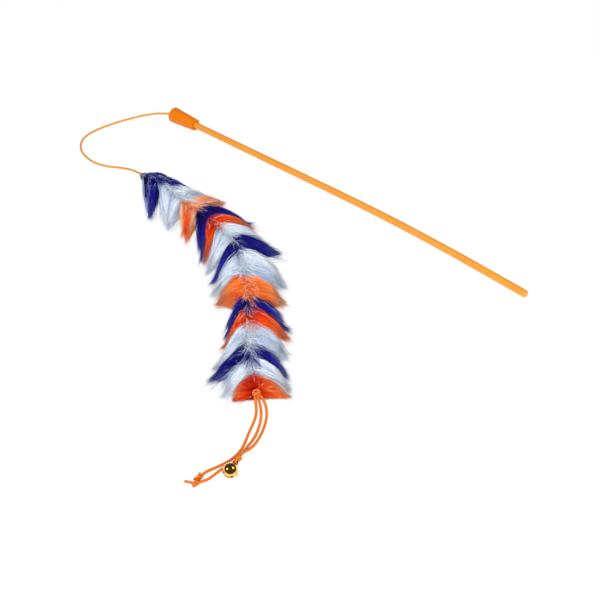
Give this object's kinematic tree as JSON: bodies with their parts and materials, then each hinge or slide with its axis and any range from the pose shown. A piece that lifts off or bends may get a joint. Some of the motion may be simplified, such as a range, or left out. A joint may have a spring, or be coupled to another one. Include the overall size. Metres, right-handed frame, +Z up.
{
  "type": "cat teaser wand",
  "caption": "Cat teaser wand: thin plastic rod with a tapered ferrule, a cord line to a long striped faux-fur tail, and cord streamers with a jingle bell.",
  "frame": {"origin": "on the surface that it lies on, under the middle of the wand and the tail", "axes": "+X along the wand from the ferrule to the grip end, +Z up from the surface"},
  "size_m": [0.4353, 0.2956, 0.026],
  "materials": {
    "orange_plastic": "smooth gloss",
    "orange_cord": "smooth round cord",
    "pale_cord": "light round cord",
    "knit_backing": "knitted backing",
    "navy_fur": "long pile",
    "white_fur": "long pile",
    "orange_fur": "long pile",
    "gold_plate": "polished",
    "steel": "plain"
  },
  "bodies": {
    "wand": {"wand_rod": "orange_plastic", "tip_ferrule": "orange_plastic", "line_stop_knot": "orange_cord"},
    "line": {"lead_line": "orange_cord"},
    "tail": {"tail_tie_knot": "orange_cord", "core_cord": "orange_cord", "fur_backing": "knit_backing", "fur_band_01": "navy_fur", "fur_band_02": "white_fur", "fur_band_03": "orange_fur", "fur_band_04": "navy_fur", "fur_band_05": "orange_fur", "fur_band_06": "white_fur", "fur_band_07": "navy_fur", "fur_band_08": "white_fur", "fur_band_09": "orange_fur", "fur_band_10": "navy_fur", "fur_band_11": "orange_fur", "fur_band_12": "white_fur", "fur_band_13": "navy_fur", "fur_band_14": "white_fur", "fur_band_15": "orange_fur", "root_knot": "pale_cord"},
    "streamers": {"left_streamer": "orange_cord", "middle_streamer": "orange_cord", "bell_streamer": "orange_cord", "left_end_knot": "orange_cord", "middle_end_knot": "orange_cord", "bell_knot": "orange_cord"},
    "bell": {"bell_upper_shell": "gold_plate", "bell_lower_shell": "gold_plate", "bell_eye": "gold_plate"},
    "pellet": {"bell_pellet": "steel"}
  },
  "joints": [
    {"name": "line_swing", "type": "hinge", "parent": "wand", "child": "line", "pos_m": [-0.1955, 0.10956, 0.00753], "axis": [0, 0, 1], "range_deg": [-30, 8]},
    {"name": "tail_swing", "type": "hinge", "parent": "line", "child": "tail", "pos_m": [-0.14325, 0.02009, 0.01], "axis": [0, 0, 1], "range_deg": [-40, 12]},
    {"name": "streamer_swing", "type": "hinge", "parent": "tail", "child": "streamers", "pos_m": [0.10185, -0.0982, 0.01], "axis": [0, 0, 1], "range_deg": [-30, 30]},
    {"name": "bell_swing", "type": "hinge", "parent": "streamers", "child": "bell", "pos_m": [0.12659, -0.14602, 0.00534], "axis": [0, 0, 1], "range_deg": [-10, 45]},
    {"name": "pellet_roll", "type": "hinge", "parent": "bell", "child": "pellet", "pos_m": [0.12785, -0.15178, 0.00534], "axis": [0.2137, -0.9769, 0], "continuous": true}
  ]
}
